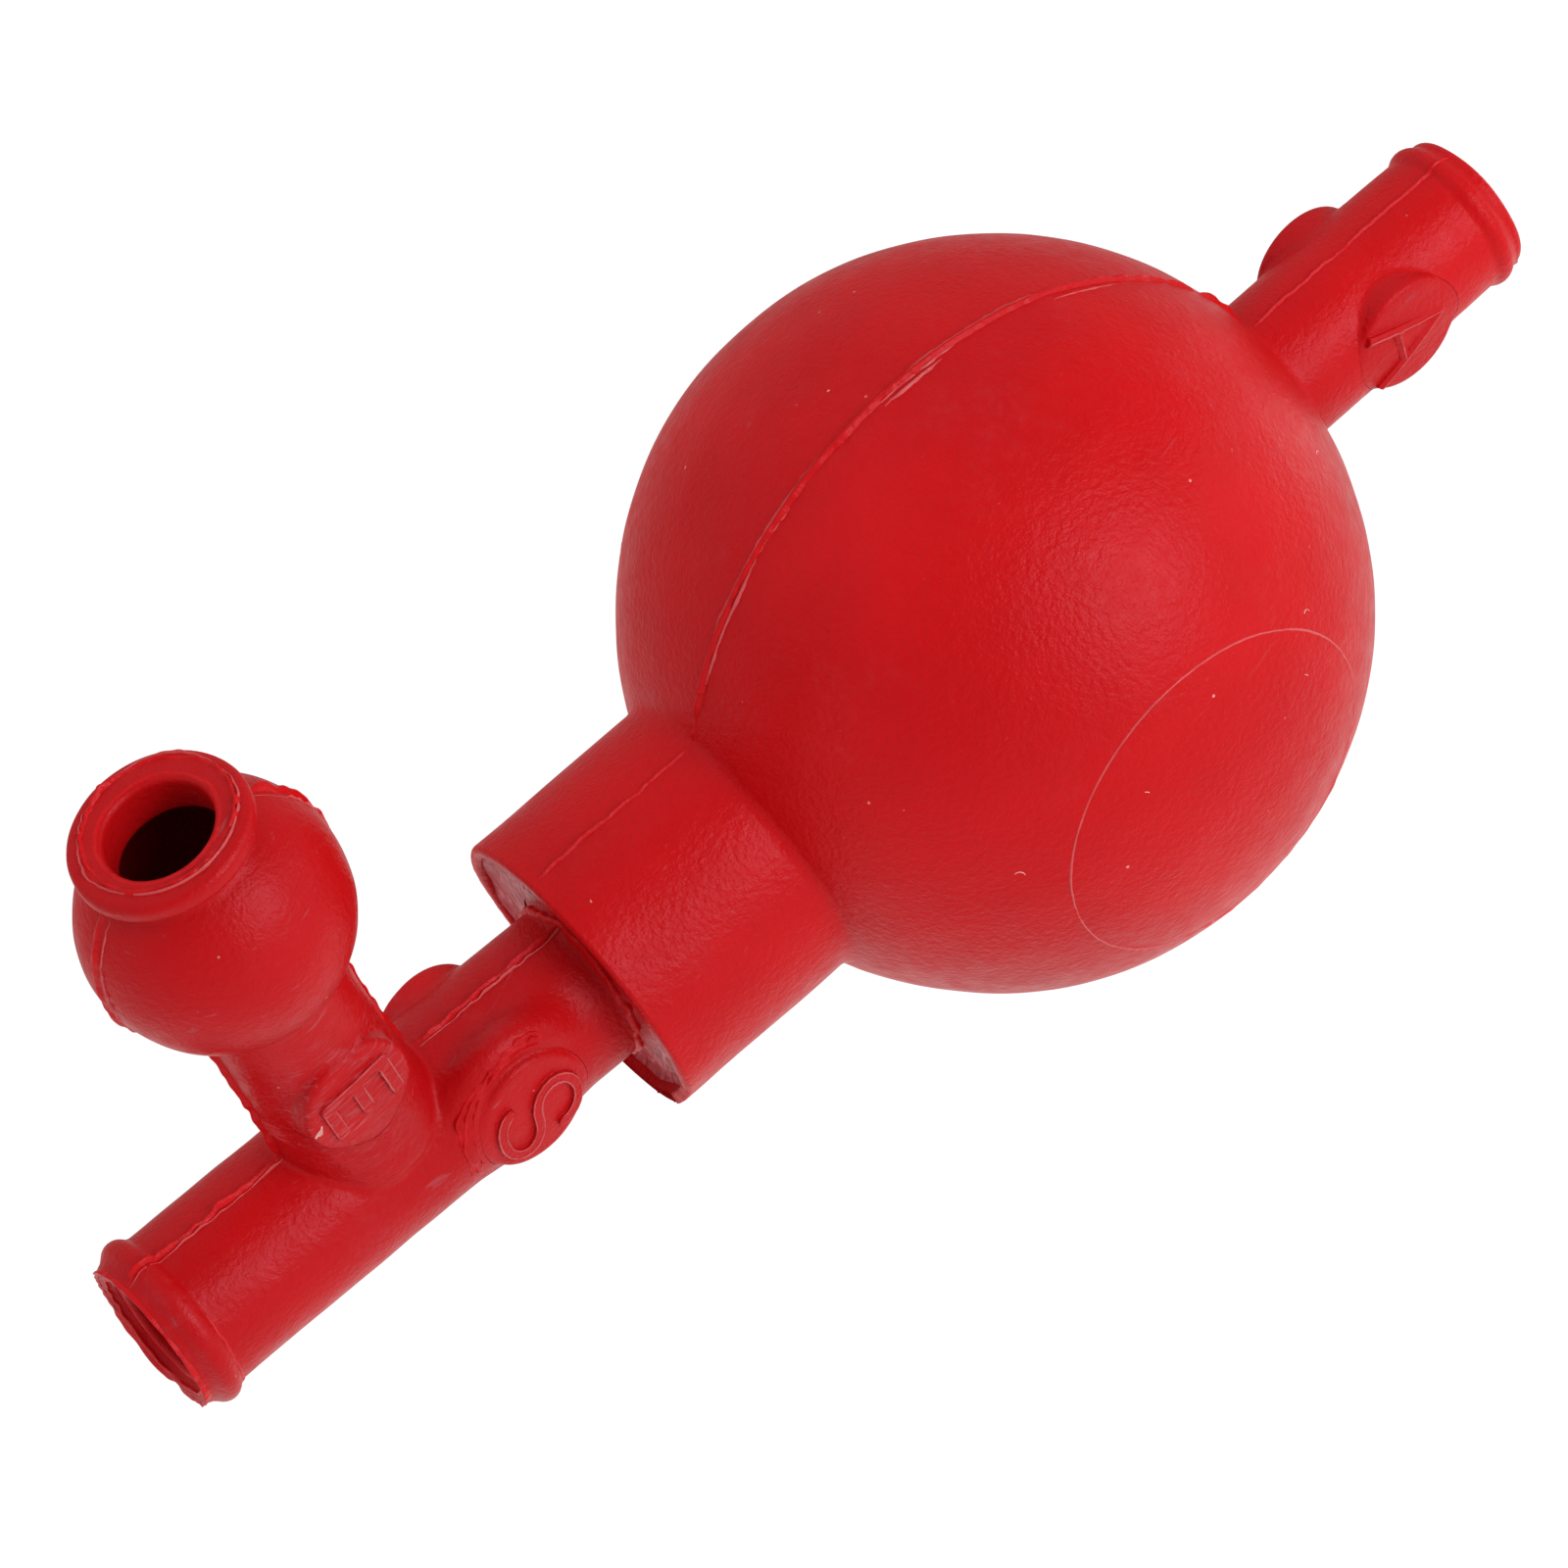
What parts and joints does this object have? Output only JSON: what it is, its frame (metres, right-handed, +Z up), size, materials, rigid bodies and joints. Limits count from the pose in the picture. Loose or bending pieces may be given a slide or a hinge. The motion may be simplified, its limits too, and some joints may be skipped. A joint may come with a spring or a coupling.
{
  "type": "siphon bulb pump",
  "caption": "Rubber squeeze bulb with an air-valve neck, a glued-in suction stem with a beaded pipette socket, and a side branch with a small blow-out bulb and open mouth.",
  "frame": {"origin": "centre of the bounding box at the table surface that the pump lies on", "axes": "+X from the air-valve neck towards the pipette socket, the side branch points to -Y, +Z up, with the pump lying on its bulb, its stem bead and its blow-out bulb"},
  "size_m": [0.1378, 0.0762, 0.0599],
  "materials": {
    "bulb_rubber": "satin moulded natural rubber, fine grain, faint bloom, thin raised flash lines",
    "stem_rubber": "satin moulded natural rubber, slightly darker and more marked than the bulb",
    "glass_ball": "clear polished glass",
    "rubber_cement": "glossy dried rubber cement"
  },
  "bodies": {
    "root": {"bulb_body": "bulb_rubber", "stem_body": "stem_rubber", "cement_layer": "rubber_cement", "valve_A_ball": "glass_ball", "valve_S_ball": "glass_ball", "valve_E_ball": "glass_ball"},
    "bulb_front": {"bulb_panel_front": "bulb_rubber"},
    "bulb_back": {"bulb_panel_back": "bulb_rubber"},
    "valve_A_top": {"valve_A_pad_top": "bulb_rubber"},
    "valve_A_bottom": {"valve_A_pad_bottom": "bulb_rubber"},
    "valve_S_top": {"valve_S_pad_top": "stem_rubber"},
    "valve_S_bottom": {"valve_S_pad_bottom": "stem_rubber"},
    "valve_E_top": {"valve_E_pad_top": "stem_rubber"},
    "valve_E_bottom": {"valve_E_pad_bottom": "stem_rubber"},
    "blow_outer": {"blow_bulb_panel_outer": "stem_rubber"},
    "blow_inner": {"blow_bulb_panel_inner": "stem_rubber"}
  },
  "joints": [
    {"name": "bulb_front_press", "type": "slide", "parent": "root", "child": "bulb_front", "axis": [0.0061, 0.9992, 0.0405], "range_m": [0, 0.012], "stiffness_N_per_m": 1300},
    {"name": "bulb_back_press", "type": "slide", "parent": "root", "child": "bulb_back", "axis": [-0.0061, -0.9992, -0.0405], "range_m": [0, 0.012], "stiffness_N_per_m": 1300},
    {"name": "valve_A_top_press", "type": "slide", "parent": "root", "child": "valve_A_top", "axis": [-0.2932, 0.0405, -0.9552], "range_m": [0, 0.0014], "stiffness_N_per_m": 6000},
    {"name": "valve_A_bottom_press", "type": "slide", "parent": "root", "child": "valve_A_bottom", "axis": [0.2932, -0.0405, 0.9552], "range_m": [0, 0.0014], "stiffness_N_per_m": 6000},
    {"name": "valve_S_top_press", "type": "slide", "parent": "root", "child": "valve_S_top", "axis": [-0.2455, 0.0761, -0.9664], "range_m": [0, 0.0014], "stiffness_N_per_m": 6000},
    {"name": "valve_S_bottom_press", "type": "slide", "parent": "root", "child": "valve_S_bottom", "axis": [0.2455, -0.0761, 0.9664], "range_m": [0, 0.0014], "stiffness_N_per_m": 6000},
    {"name": "valve_E_top_press", "type": "slide", "parent": "root", "child": "valve_E_top", "axis": [-0.2455, 0.0761, -0.9664], "range_m": [0, 0.0014], "stiffness_N_per_m": 6000},
    {"name": "valve_E_bottom_press", "type": "slide", "parent": "root", "child": "valve_E_bottom", "axis": [0.2455, -0.0761, 0.9664], "range_m": [0, 0.0014], "stiffness_N_per_m": 6000},
    {"name": "blow_outer_press", "type": "slide", "parent": "root", "child": "blow_outer", "axis": [-0.9693, -0.0041, 0.2459], "range_m": [0, 0.004], "stiffness_N_per_m": 800},
    {"name": "blow_inner_press", "type": "slide", "parent": "root", "child": "blow_inner", "axis": [0.9693, 0.0041, -0.2459], "range_m": [0, 0.004], "stiffness_N_per_m": 800}
  ],
  "couplings": [
    {"joint": "bulb_back_press", "follows": "bulb_front_press", "ratio": 1},
    {"joint": "valve_A_bottom_press", "follows": "valve_A_top_press", "ratio": 1},
    {"joint": "valve_S_bottom_press", "follows": "valve_S_top_press", "ratio": 1},
    {"joint": "valve_E_bottom_press", "follows": "valve_E_top_press", "ratio": 1},
    {"joint": "blow_inner_press", "follows": "blow_outer_press", "ratio": 1}
  ]
}
